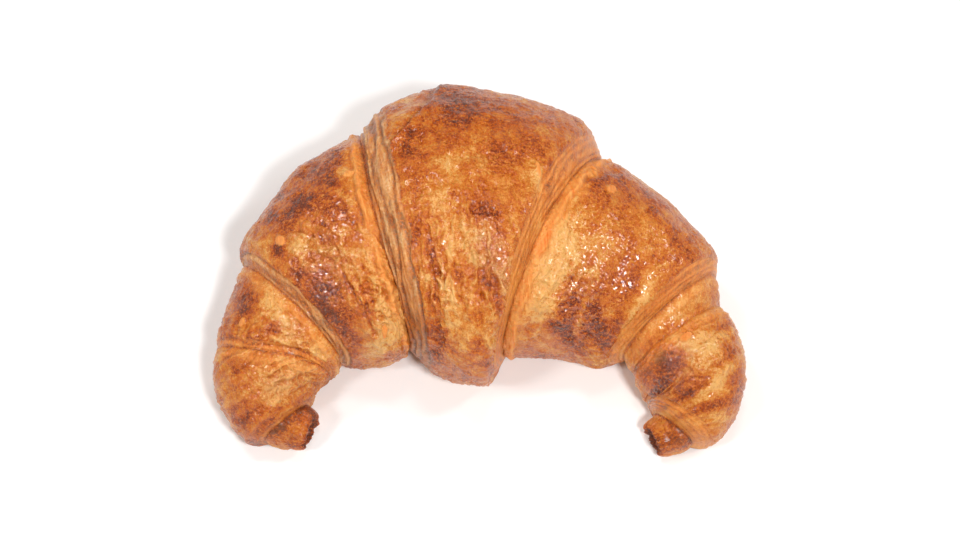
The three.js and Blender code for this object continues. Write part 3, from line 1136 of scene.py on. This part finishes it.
@dataclass
class Crust:
    """The croissant's whole skin as one mesh."""

    baking: Baking
    left_end: TipEnd = field(default_factory=lambda: TipEnd(hollow=5.0, lip=3.5, turns=1.6, coil_depth=1.6))
    right_end: TipEnd = field(default_factory=lambda: TipEnd(hollow=2.0, lip=3.5, turns=1.4, coil_depth=1.0))

    def _end_rows(self, row: Array, end: TipEnd, way: Array) -> Array:
        """Rows that roll over an end's lip and down into its spiral hollow.

        Args:
            row: The skin's last row of points.
            end: How the end closes.
            way: Unit direction out of the end.

        Returns:
            The added rows, from the lip to the middle.
        """
        middle = row.mean(axis=0)
        angle = self.baking.grid.angle
        torn = Noise(71).layered(3 * np.cos(angle), 3 * np.sin(angle), end.lip, octaves=3)
        added = []
        for i in range(1, end.rows):
            t = i / end.rows
            over = min(1.0, t / end.lip_share)
            inward = max(0.0, t - end.lip_share) / (1 - end.lip_share)
            radius = 1 - end.brim * (1 - math.cos(over * math.pi / 2)) - (1 - end.brim) * inward
            lip = end.lip * math.sin(over * math.pi / 2)
            groove = 0.5 - 0.5 * np.cos(2 * math.pi * end.turns * inward + angle)
            deep = smoothstep(0.0, 0.35, np.array(inward))
            sink = end.hollow * deep * (0.55 + 0.45 * inward) + end.coil_depth * groove * deep
            uneven = end.raggedness * torn * math.sin(min(1.0, t / 0.3) * math.pi / 2) * (1 - inward)
            crease = 0.35 * Noise(72).layered(9 * np.cos(angle), 9 * np.sin(angle), t * 4, octaves=2)
            out = lip - sink + uneven + crease * min(1.0, 4 * t)
            place = middle + (row - middle) * radius + way * out[:, None]
            place[:, 2] = np.maximum(place[:, 2], 0.0)
            added.append(place)
        return np.array(added)

    def build(self) -> bpy.types.Object:
        """Makes the skin's mesh with its finish written on its points.

        Returns:
            The piece, not yet dressed.
        """
        baking, grid = self.baking, self.baking.grid
        spine = grid.roll.spine
        _, _, out_x, out_y = spine.places(np.array([-spine.left.length, spine.right.length]))
        left_way = -np.array([out_y[0], -out_x[0], 0.0])
        right_way = np.array([out_y[1], -out_x[1], 0.0])
        left = self._end_rows(baking.points[0], self.left_end, left_way)[::-1]
        right = self._end_rows(baking.points[-1], self.right_end, right_way)
        points = np.concatenate([left, baking.points, right])
        shift = self._shift_to_frame(grid.base)
        points = (points + shift) * MM
        rows, columns = points.shape[:2]
        poles = np.stack([points[0].mean(axis=0), points[-1].mean(axis=0)])
        vertices = np.concatenate([points.reshape(-1, 3), poles])
        mesh = bpy.data.meshes.new("crust")
        self._fill(mesh, vertices, rows, columns)
        self._write_finish(mesh, len(left), len(right), rows, columns)
        piece = bpy.data.objects.new("crust", mesh)
        bpy.context.collection.objects.link(piece)
        return piece

    def _shift_to_frame(self, base: Array) -> Array:
        """The move that puts the plain roll's box on the frame's.

        Args:
            base: The plain roll's points.

        Returns:
            The move in millimetres.
        """
        low, high = (np.array(corner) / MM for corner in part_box(NODE))
        own_low, own_high = base.min(axis=(0, 1)), base.max(axis=(0, 1))
        move = (low + high - own_low - own_high) / 2
        move[2] = low[2] - own_low[2]
        return move

    @staticmethod
    def _fill(mesh: bpy.types.Mesh, vertices: Array, rows: int, columns: int) -> None:
        """Writes the grid's points and faces, and a flat layout of it for baked textures.

        Args:
            mesh: The empty mesh.
            vertices: The grid's points, then the two end points.
            rows: Rows in the grid.
            columns: Points in each row.
        """
        row = np.arange(rows - 1)[:, None]
        column = np.arange(columns)[None, :]
        beside = (column + 1) % columns
        corners = [row * columns + column, row * columns + beside,
                   (row + 1) * columns + beside, (row + 1) * columns + column]
        quads = np.stack(np.broadcast_arrays(*corners), axis=-1).reshape(-1, 4)
        first = np.arange(columns)
        following = (first + 1) % columns
        left_pole, right_pole = rows * columns, rows * columns + 1
        last = (rows - 1) * columns
        left_fan = np.stack([np.full(columns, left_pole), following, first], axis=-1)
        right_fan = np.stack([np.full(columns, right_pole), last + first, last + following], axis=-1)
        loops = np.concatenate([quads.ravel(), left_fan.ravel(), right_fan.ravel()]).astype(np.int32)
        starts = np.concatenate([np.arange(len(quads)) * 4, len(quads) * 4 + np.arange(2 * columns) * 3])
        mesh.vertices.add(len(vertices))
        mesh.vertices.foreach_set("co", vertices.astype(np.float32).ravel())
        mesh.loops.add(len(loops))
        mesh.loops.foreach_set("vertex_index", loops)
        mesh.polygons.add(len(starts))
        mesh.polygons.foreach_set("loop_start", starts.astype(np.int32))
        mesh.update(calc_edges=True)
        mesh.polygons.foreach_set("use_smooth", np.ones(len(starts), dtype=bool))

        u_row = 0.01 + 0.98 * np.arange(rows) / (rows - 1)
        v_column = 0.005 + 0.99 * np.arange(columns + 1) / columns
        u = np.stack([u_row[:-1], u_row[:-1], u_row[1:], u_row[1:]], axis=-1)[:, None, :]
        v = np.stack([v_column[:-1], v_column[1:], v_column[1:], v_column[:-1]], axis=-1)[None, :, :]
        quad_uv = np.stack(np.broadcast_arrays(u, v), axis=-1).reshape(-1, 2)
        middle = (v_column[:-1] + v_column[1:]) / 2
        ends = []
        for edge, pole, low, high in ((u_row[0], 0.0, v_column[1:], v_column[:-1]),
                                      (u_row[-1], 1.0, v_column[:-1], v_column[1:])):
            rim = np.full(columns, edge)
            fan_u = np.stack([np.full(columns, pole), rim, rim], axis=-1)
            fan_v = np.stack([middle, low, high], axis=-1)
            ends.append(np.stack([fan_u, fan_v], axis=-1).reshape(-1, 2))
        layout = mesh.uv_layers.new(name="OFBake")
        layout.uv.foreach_set("vector", np.concatenate([quad_uv, *ends]).astype(np.float32).ravel())

    def _write_finish(self, mesh: bpy.types.Mesh, left: int, right: int, rows: int, columns: int) -> None:
        """Stores the grain's run on the points, and the finish, which fades over the ends' added rows.

        Args:
            mesh: The skin.
            left: Rows added at the left end.
            right: Rows added at the right end.
            rows: All rows; not used.
            columns: Points in each row; not used.
        """
        baking, grid = self.baking, self.baking.grid
        fields = {
            "browning": baking.browning,
            "dough": baking.dough,
            "shine": baking.shine,
            "blister": baking.blister_mask,
            "painted_sheen": baking.painted_sheen,
            "chalk": baking.chalk,
        }
        # Towards the middle of each end's hollow the finish runs to the darkest browning, less shine and no
        # bare dough; the darkness is partly browned crust and partly painted shade in the hollow.
        goal = {"browning": 0.95, "dough": 0.0, "shine": 0.35}
        for name, values in fields.items():
            inner = goal.get(name, 0.0)
            reach = smoothstep(0.15, 0.6, np.arange(1, left + 1) / left)[::-1, None]
            first = values[:1] * (1 - reach) + inner * reach
            reach = smoothstep(0.15, 0.6, np.arange(1, right + 1) / right)[:, None]
            last = values[-1:] * (1 - reach) + inner * reach
            whole = np.concatenate([first, values, last])
            flat = np.concatenate([whole.ravel(), [whole[0].mean(), whole[-1].mean()]])
            mesh.attributes.new(name, "FLOAT", "POINT").data.foreach_set("value", flat.astype(np.float32))
        turn = np.broadcast_to(grid.turn[:, None] * 3.7, grid.around.shape)
        grain = np.stack([grid.along, grid.around, turn], axis=-1)
        before, after = np.repeat(grain[:1], left, axis=0), np.repeat(grain[-1:], right, axis=0)
        whole = np.concatenate([before, grain, after])
        ends = whole[[0, -1]].mean(axis=1)
        flat = np.concatenate([whole.reshape(-1, 3), ends])
        run = mesh.attributes.new("grain", "FLOAT_VECTOR", "POINT")
        run.data.foreach_set("vector", flat.astype(np.float32).ravel())


# ---------------------------------------------------------------- the finish


def from_screen(red: int, green: int, blue: int) -> Colour:
    """Turns a colour as a screen shows it into the shader's linear values."""
    channels = (c / 255 for c in (red, green, blue))
    return (*(c / 12.92 if c <= 0.04045 else ((c + 0.055) / 1.055) ** 2.4 for c in channels), 1.0)


class NodeSheet:
    """A material's nodes, with short ways to add and join them."""

    def __init__(self, material: bpy.types.Material) -> None:
        """Starts from the material's own shader.

        Args:
            material: The material to build.
        """
        material.use_nodes = True
        self.tree = material.node_tree
        self.shader = self.tree.nodes["Principled BSDF"]

    def _join(self, node: bpy.types.Node, inputs: dict[str | int, object]) -> None:
        """Sets or links a node's inputs.

        Args:
            node: The node.
            inputs: Values or sockets, by the input's name or number.
        """
        for name, value in inputs.items():
            socket = node.inputs[name]
            if isinstance(value, bpy.types.NodeSocket):
                self.tree.links.new(value, socket)
            else:
                socket.default_value = value

    def add(
        self, kind: str, inputs: dict[str | int, object] | None = None, **settings: object
    ) -> bpy.types.Node:
        """Adds a node.

        Args:
            kind: The node's type, without the ShaderNode prefix.
            inputs: Values or sockets for its inputs.
            **settings: Properties of the node.

        Returns:
            The node.
        """
        node = self.tree.nodes.new("ShaderNode" + kind)
        for name, value in settings.items():
            setattr(node, name, value)
        self._join(node, inputs or {})
        return node

    def attribute(self, name: str, output: str = "Fac") -> bpy.types.NodeSocket:
        """A value stored on the mesh's points."""
        return self.add("Attribute", attribute_name=name).outputs[output]

    def maths(self, operation: str, *values: object, clamp: bool = False) -> bpy.types.NodeSocket:
        """The result of a sum on numbers or sockets."""
        node = self.add("Math", dict(enumerate(values)), operation=operation, use_clamp=clamp)
        return node.outputs[0]

    def noise(self, vector: bpy.types.NodeSocket, scale: float, detail: float = 3.0, rough: float = 0.55,
              distortion: float = 0.0) -> bpy.types.NodeSocket:
        """A noise field from 0 to 1.

        Args:
            vector: Coordinates.
            scale: How many features fit in one unit of them.
            detail: How many finer sizes are added.
            rough: How strong the finer sizes are.
            distortion: How far the field is twisted.

        Returns:
            The field.
        """
        node = self.add("TexNoise", {"Vector": vector, "Scale": scale, "Detail": detail, "Roughness": rough,
                                     "Distortion": distortion})
        return node.outputs["Fac"]

    def ridges(
        self, vector: bpy.types.NodeSocket, scale: float, detail: float, distortion: float
    ) -> bpy.types.NodeSocket:
        """A crumpled field with sharp crests, from 0 to about 1.

        Args:
            vector: Coordinates.
            scale: How many features fit in one unit of them.
            detail: How many finer sizes are added.
            distortion: How far the field is twisted.

        Returns:
            The field.
        """
        node = self.add("TexNoise", noise_type="RIDGED_MULTIFRACTAL")
        self._join(node, {"Vector": vector, "Scale": scale, "Detail": detail, "Roughness": 0.5, "Offset": 1.0,
                          "Gain": 1.6, "Distortion": distortion})
        return self.remap(node.outputs["Fac"], 0.6, 2.4)

    def shifted(self, value: object, field_: object, amount: float) -> bpy.types.NodeSocket:
        """A value moved up and down by a field that runs from 0 to 1."""
        return self.maths("ADD", value, self.maths("MULTIPLY", self.maths("SUBTRACT", field_, 0.5), amount))

    def blend(self, rest: float, field_: object, share: object) -> bpy.types.NodeSocket:
        """A field drawn towards its resting value, or away from it where the share is over 1."""
        return self.maths("ADD", self.maths("MULTIPLY", self.maths("SUBTRACT", field_, rest), share), rest)

    def stretch(
        self, vector: bpy.types.NodeSocket, scale: tuple[float, float, float]
    ) -> bpy.types.NodeSocket:
        """The same coordinates, scaled along each axis."""
        return self.add("Mapping", {"Vector": vector, "Scale": scale}).outputs[0]

    def remap(
        self, value: object, low: float, high: float, to_low: float = 0.0, to_high: float = 1.0
    ) -> bpy.types.NodeSocket:
        """Maps one range onto another and stops at its ends.

        Args:
            value: The number or socket to map.
            low: What becomes to_low.
            high: What becomes to_high.
            to_low: Start of the new range.
            to_high: End of the new range.

        Returns:
            The mapped value.
        """
        node = self.add("MapRange", {"Value": value, "From Min": low, "From Max": high, "To Min": to_low,
                                     "To Max": to_high}, clamp=True)
        return node.outputs[0]

    def ramp(self, value: bpy.types.NodeSocket, stops: list[tuple[float, Colour]]) -> bpy.types.NodeSocket:
        """Colours a value by a row of stops.

        Args:
            value: The value, from 0 to 1.
            stops: Each stop's place and colour.

        Returns:
            The colour.
        """
        node = self.add("ValToRGB", {"Fac": value})
        elements = node.color_ramp.elements
        while len(elements) < len(stops):
            elements.new(0.5)
        for element, (position, colour) in zip(elements, stops):
            element.position = position
            element.color = colour
        return node.outputs["Color"]

    def mix(self, share: object, first: object, second: object, blend: str = "MIX") -> bpy.types.NodeSocket:
        """Mixes two colours.

        Args:
            share: How much of the second is used, from 0 to 1.
            first: The first colour.
            second: The second colour.
            blend: How they are mixed.

        Returns:
            The mixed colour.
        """
        node = self.add("Mix", data_type="RGBA", blend_type=blend)
        self._join(node, {0: share, 6: first, 7: second})
        return node.outputs[2]


@dataclass(frozen=True)
class CrustFinish:
    """Egg-washed crust: golden to dark brown, glossy, with pale matt layers where it opened."""

    cream: Colour = from_screen(226, 170, 98)
    straw: Colour = from_screen(206, 126, 40)
    gold: Colour = from_screen(190, 92, 8)
    amber: Colour = from_screen(164, 66, 3)
    chestnut: Colour = from_screen(122, 42, 2)
    scorched: Colour = from_screen(88, 28, 2)
    # The pinkish colour of the painted sheen, laid where the glaze shines.
    painted_sheen: Colour = from_screen(182, 96, 62)
    layer_pale: Colour = from_screen(246, 170, 90)
    layer_deep: Colour = from_screen(224, 116, 34)
    layer_grey: Colour = from_screen(222, 168, 108)
    layer_shade: Colour = from_screen(166, 92, 44)
    layer_white: Colour = from_screen(244, 208, 162)

    def make(self) -> bpy.types.Material:
        """Builds the material.

        Returns:
            The material, ready for the crust.
        """
        material = bpy.data.materials.new("baked_crust")
        sheet = NodeSheet(material)
        place = sheet.add("TexCoord").outputs["Object"]
        grain = sheet.attribute("grain", "Vector")
        browning = sheet.attribute("browning")
        dough = sheet.attribute("dough")
        shine = sheet.attribute("shine")
        blister = sheet.attribute("blister")

        mottle = sheet.noise(place, 380, 5, 0.62, 0.5)
        speckle = sheet.noise(place, 1400, 3, 0.6)
        dust = sheet.noise(place, 3200, 2, 0.6)
        fibres = sheet.noise(sheet.stretch(grain, (1.0, 0.3, 1.0)), 1.0, 5, 0.65, 1.6)
        crumple = sheet.ridges(place, 330, 5, 0.9)
        lively = sheet.remap(browning, 0.35, 0.75, 0.6, 1.5)
        level = sheet.shifted(browning, mottle, 0.5)
        level = sheet.shifted(level, sheet.blend(0.5, speckle, lively), 1.25)
        level = sheet.shifted(level, sheet.blend(0.5, dust, lively), 1.3)
        level = sheet.shifted(level, fibres, 0.16)
        spots = sheet.remap(sheet.noise(place, 620, 4, 0.7, 0.8), 0.56, 0.66, 0.0, 0.2)
        spots = sheet.maths("MULTIPLY", spots, sheet.remap(browning, 0.3, 0.7, 0.2, 1.2))
        level = sheet.maths("ADD", level, spots)
        # Paler on the crumpled crests: a painted highlight.
        level = sheet.maths("SUBTRACT", level, sheet.maths("MULTIPLY", crumple, 0.06))
        crust = sheet.ramp(level, [(0.0, self.cream), (0.2, self.straw), (0.4, self.gold), (0.58, self.amber),
                                   (0.78, self.chestnut), (1.0, self.scorched)])
        # A pinkish painted sheen, broken up by speckle.
        pink = sheet.maths("MULTIPLY", sheet.attribute("painted_sheen"), sheet.remap(speckle, 0.3, 0.7, 0.2, 0.75))
        crust = sheet.mix(pink, crust, self.painted_sheen)

        lines = sheet.noise(sheet.stretch(grain, (1.7, 0.1, 1.0)), 1.0, 4, 0.7, 0.3)
        cut = sheet.shifted(lines, mottle, 0.5)
        warm = sheet.ramp(cut, [(0.3, self.layer_deep), (0.65, self.layer_pale)])
        flecked = sheet.shifted(cut, speckle, 1.0)
        greys = [(0.22, self.layer_shade), (0.5, self.layer_grey), (0.8, self.layer_white)]
        grey = sheet.ramp(flecked, greys)
        layers = sheet.mix(sheet.attribute("chalk"), warm, grey)
        colour = sheet.mix(dough, crust, layers)

        roughness = sheet.remap(shine, 0.0, 1.0, 0.48, 0.14)
        roughness = sheet.shifted(roughness, mottle, 0.16)

        spread = {"Vector": place, "Scale": 1150.0, "Randomness": 1.0}
        cells = sheet.add("TexVoronoi", spread, feature="SMOOTH_F1").outputs["Distance"]
        pits = sheet.maths("MULTIPLY", cells, sheet.remap(blister, 0, 1, 0.1, 1.0))
        height = sheet.maths("MULTIPLY", fibres, 0.35)
        for part, share in ((mottle, 0.4), (speckle, 0.34), (dust, 0.14), (crumple, 0.3)):
            height = sheet.maths("ADD", height, sheet.maths("MULTIPLY", part, share))
        height = sheet.maths("SUBTRACT", height, pits)
        cut_lines = sheet.maths("MULTIPLY", sheet.maths("MULTIPLY", lines, dough), 0.5)
        height = sheet.maths("ADD", height, cut_lines)
        relief = sheet.add("Bump", {"Height": height, "Strength": 1.0, "Distance": 0.0009})

        shader = sheet.shader
        sheet.tree.links.new(colour, shader.inputs["Base Color"])
        sheet.tree.links.new(roughness, shader.inputs["Roughness"])
        sheet.tree.links.new(relief.outputs[0], shader.inputs["Normal"])
        bare = sheet.remap(dough, 0, 0.7, 1.0, 0.15)
        glaze = sheet.maths("MULTIPLY", sheet.remap(blister, 0, 1, 0.2, 0.95), bare)
        sheet.tree.links.new(glaze, shader.inputs["Coat Weight"])
        constants = {
            "IOR": 1.48,
            "Coat IOR": 1.65,
            "Coat Roughness": 0.11,
            "Coat Tint": (1.0, 0.98, 0.94, 1),
            "Specular Tint": (1.0, 0.86, 0.68, 1),
            "Subsurface Weight": 0.25,
            "Subsurface Radius": (1.0, 0.4, 0.15),
            "Subsurface Scale": 0.002,
        }
        for name, value in constants.items():
            shader.inputs[name].default_value = value
        return material


# ---------------------------------------------------------------- the studio


@dataclass(frozen=True)
class SoftBox:
    """A square light that points at the croissant."""

    name: str
    azimuth: float
    elevation: float
    distance: float
    size: float
    watts: float


@dataclass
class Studio:
    """A plain pale floor, soft light and the camera above the croissant's front."""

    target: Vector
    floor_size: float = 6.0
    floor_level: float = -0.0003
    camera_elevation: float = 68.0
    camera_distance: float = 0.753
    lens: float = 100.0
    surround: float = 0.26
    lights: tuple[SoftBox, ...] = (
        SoftBox("key", azimuth=32, elevation=60, distance=1.2, size=0.18, watts=9.0),
        SoftBox("fill", azimuth=-60, elevation=52, distance=1.3, size=0.2, watts=4.0),
        SoftBox("left", azimuth=-136, elevation=57, distance=1.3, size=0.24, watts=3.6),
        SoftBox("right", azimuth=106, elevation=48, distance=1.3, size=0.2, watts=3.0),
        SoftBox("back", azimuth=170, elevation=76, distance=1.2, size=0.16, watts=1.8),
    )

    def _aim(self, piece: bpy.types.Object, azimuth: float, elevation: float, distance: float) -> None:
        """Places a lamp or camera round the target and turns it there.

        Args:
            piece: The lamp or camera.
            azimuth: Degrees round the target, 0 in front and rising to the right.
            elevation: Degrees above the table.
            distance: Metres from the target.
        """
        turn, rise = math.radians(azimuth), math.radians(elevation)
        way = Vector((math.sin(turn) * math.cos(rise), -math.cos(turn) * math.cos(rise), math.sin(rise)))
        piece.location = self.target + way * distance
        piece.rotation_euler = way.to_track_quat("Z", "Y").to_euler()

    def build(self) -> None:
        """Makes the floor, the surround, the lights and the camera."""
        self._floor()
        self._surround()
        self._lamps()
        self._camera()

    def _floor(self) -> None:
        """Lays the pale floor just under the croissant."""
        bpy.ops.mesh.primitive_plane_add(size=self.floor_size, location=(0, 0, self.floor_level))
        floor = bpy.context.object
        floor.name = "floor"
        paint = bpy.data.materials.new("pale_floor")
        paint.use_nodes = True
        shader = paint.node_tree.nodes["Principled BSDF"]
        shader.inputs["Base Color"].default_value = (0.95, 0.95, 0.95, 1)
        shader.inputs["Roughness"].default_value = 0.9
        floor.data.materials.append(paint)

    def _surround(self) -> None:
        """Lights the scene softly from all round, in a slightly warm white."""
        world = bpy.data.worlds.new("surround")
        world.use_nodes = True
        background = world.node_tree.nodes["Background"]
        background.inputs["Strength"].default_value = self.surround
        background.inputs["Color"].default_value = (1.0, 0.95, 0.88, 1)
        bpy.context.scene.world = world
        bpy.context.scene.view_settings.view_transform = "Standard"

    def _lamps(self) -> None:
        """Hangs the square lights."""
        for box in self.lights:
            lamp = bpy.data.lights.new(box.name, "AREA")
            lamp.size = box.size
            lamp.energy = box.watts
            piece = bpy.data.objects.new(box.name, lamp)
            bpy.context.collection.objects.link(piece)
            self._aim(piece, box.azimuth, box.elevation, box.distance)

    def _camera(self) -> None:
        """Sets up the camera and makes it the scene's own."""
        eye = bpy.data.cameras.new("camera")
        eye.lens = self.lens
        camera = bpy.data.objects.new("camera", eye)
        bpy.context.collection.objects.link(camera)
        self._aim(camera, 0.0, self.camera_elevation, self.camera_distance)
        bpy.context.scene.camera = camera


def main() -> None:
    """Builds the studio and the croissant, and reports each piece."""
    logging.basicConfig(level=logging.INFO, format="%(message)s")
    low, high = (Vector(corner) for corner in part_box(NODE))
    middle = (low + high) / 2
    Studio(target=Vector((middle.x, middle.y - 1.25 * MM, low.z + 20 * MM))).build()

    grid = CrustGrid()
    crust = Crust(Baking(grid)).build()
    crust.data.materials.append(CrustFinish().make())
    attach(crust, "root")
    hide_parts(NODE)
    counts = (len(grid.q), len(crust.data.vertices), len(crust.data.polygons))
    log.info("crust: %d rows, %d points, %d faces", *counts)


if __name__ == "__main__":
    main()
